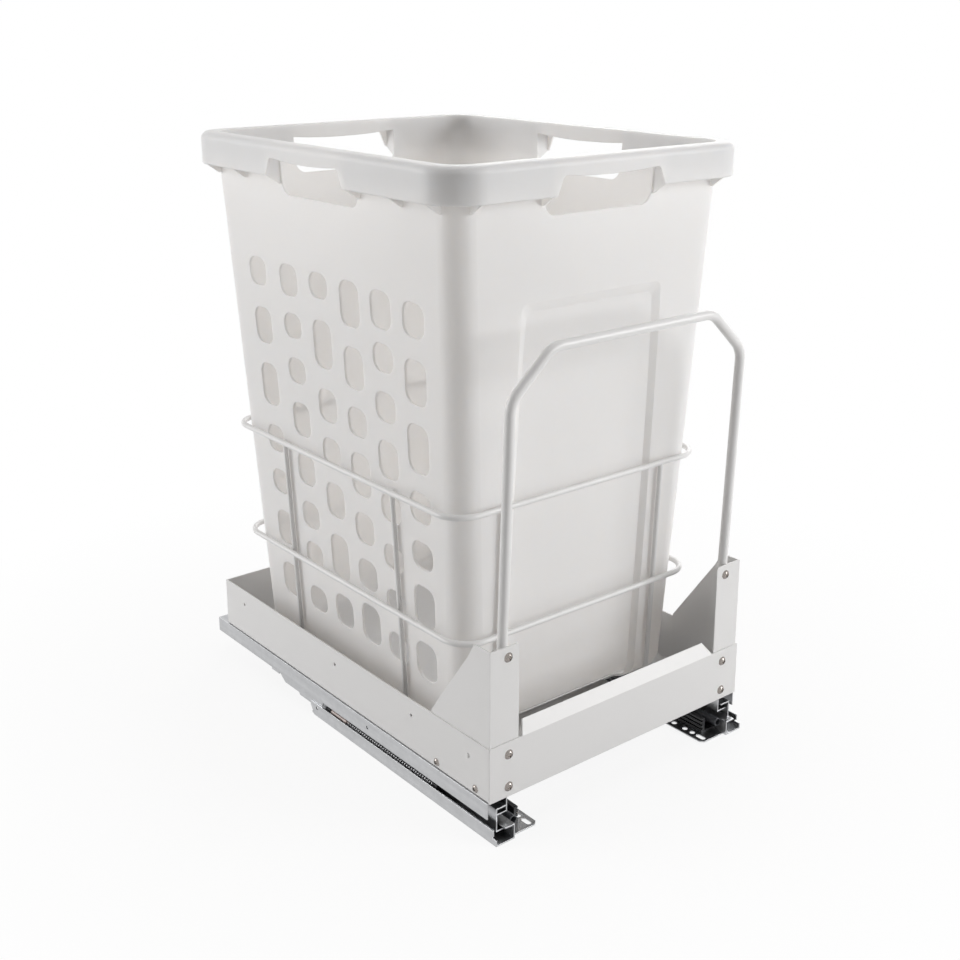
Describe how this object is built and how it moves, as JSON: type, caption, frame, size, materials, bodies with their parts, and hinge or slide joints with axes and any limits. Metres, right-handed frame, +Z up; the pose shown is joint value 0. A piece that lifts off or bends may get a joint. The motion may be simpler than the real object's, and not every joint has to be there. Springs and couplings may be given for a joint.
{
  "type": "pull-out laundry basket",
  "caption": "Slotted white hamper in a wire cradle on a sheet steel tray with a tube handle, pulled out of a base cabinet on full-extension runners.",
  "frame": {"origin": "middle of the footprint, on the cabinet floor, with the tray pushed in", "axes": "-Y is the front, towards which the tray is pulled; +Z up; +X to the right seen from behind the front"},
  "size_m": [0.3826, 0.532, 0.6318],
  "materials": {
    "white_polymer": "satin white moulded polymer",
    "white_powder_coat": "semi-gloss white powder coat",
    "bright_screw": "polished nickel",
    "zinc_steel": "bright zinc plating",
    "spring_steel": "bright drawn wire",
    "dark_steel": "dark grey blued steel",
    "black_polymer": "matt black moulded polymer",
    "grey_polymer": "natural grey acetal",
    "pale_polymer": "pale warm polymer",
    "black_rubber": "matt black rubber"
  },
  "bodies": {
    "cabinet_side": {"cabinet_rail_left": "zinc_steel", "catch_housing_left": "black_polymer", "catch_slider_left": "black_polymer", "catch_damper_left": "pale_polymer", "return_spring_left": "spring_steel", "damper_housing_left": "black_polymer", "damper_cylinder_left": "dark_steel", "damper_rod_left": "spring_steel", "cabinet_rail_right": "zinc_steel", "catch_housing_right": "black_polymer", "catch_slider_right": "black_polymer", "catch_damper_right": "pale_polymer", "return_spring_right": "spring_steel", "damper_housing_right": "black_polymer", "damper_cylinder_right": "dark_steel", "damper_rod_right": "spring_steel"},
    "tray": {"tray_pan": "white_powder_coat", "front_panel": "white_powder_coat", "corner_bracket_left": "white_powder_coat", "corner_bracket_right": "white_powder_coat", "handle": "white_powder_coat", "drawer_rail_left": "zinc_steel", "drawer_rail_right": "zinc_steel", "upper_ring": "white_powder_coat", "lower_ring": "white_powder_coat", "cross_wires": "white_powder_coat", "lengthwise_wires": "white_powder_coat", "wire_saddles": "white_powder_coat", "front_screws": "bright_screw", "handle_screws": "bright_screw", "side_screws": "bright_screw", "saddle_screws": "bright_screw", "front_nuts": "zinc_steel", "side_nuts": "zinc_steel", "side_rivets": "white_powder_coat", "rail_rivets": "zinc_steel"},
    "hamper_body": {"hamper": "white_polymer"},
    "middle_left": {"middle_rail_left": "zinc_steel", "rear_bumper_left": "black_rubber"},
    "upper_rollers_set_left": {"upper_cage_left": "black_polymer", "upper_rollers_left": "grey_polymer"},
    "lower_rollers_set_left": {"lower_cage_left": "black_polymer", "lower_rollers_left": "grey_polymer"},
    "middle_right": {"middle_rail_right": "zinc_steel", "rear_bumper_right": "black_rubber"},
    "upper_rollers_set_right": {"upper_cage_right": "black_polymer", "upper_rollers_right": "grey_polymer"},
    "lower_rollers_set_right": {"lower_cage_right": "black_polymer", "lower_rollers_right": "grey_polymer"}
  },
  "joints": [
    {"name": "tray_slide", "type": "slide", "parent": "cabinet_side", "child": "tray", "axis": [0, -1, 0], "range_m": [0, 0.45]},
    {"name": "middle_slide_left", "type": "slide", "parent": "cabinet_side", "child": "middle_left", "axis": [0, -1, 0], "range_m": [0, 0.225]},
    {"name": "upper_cage_slide_left", "type": "slide", "parent": "cabinet_side", "child": "upper_rollers_set_left", "axis": [0, -1, 0], "range_m": [0, 0.3375]},
    {"name": "lower_cage_slide_left", "type": "slide", "parent": "cabinet_side", "child": "lower_rollers_set_left", "axis": [0, -1, 0], "range_m": [0, 0.1125]},
    {"name": "middle_slide_right", "type": "slide", "parent": "cabinet_side", "child": "middle_right", "axis": [0, -1, 0], "range_m": [0, 0.225]},
    {"name": "upper_cage_slide_right", "type": "slide", "parent": "cabinet_side", "child": "upper_rollers_set_right", "axis": [0, -1, 0], "range_m": [0, 0.3375]},
    {"name": "lower_cage_slide_right", "type": "slide", "parent": "cabinet_side", "child": "lower_rollers_set_right", "axis": [0, -1, 0], "range_m": [0, 0.1125]},
    {"name": "hamper_lift", "type": "slide", "parent": "tray", "child": "hamper_body", "axis": [0, 0, 1], "range_m": [0, 0.28]}
  ],
  "couplings": [
    {"joint": "middle_slide_left", "follows": "tray_slide", "ratio": 0.5},
    {"joint": "upper_cage_slide_left", "follows": "tray_slide", "ratio": 0.75},
    {"joint": "lower_cage_slide_left", "follows": "tray_slide", "ratio": 0.25},
    {"joint": "middle_slide_right", "follows": "tray_slide", "ratio": 0.5},
    {"joint": "upper_cage_slide_right", "follows": "tray_slide", "ratio": 0.75},
    {"joint": "lower_cage_slide_right", "follows": "tray_slide", "ratio": 0.25}
  ]
}
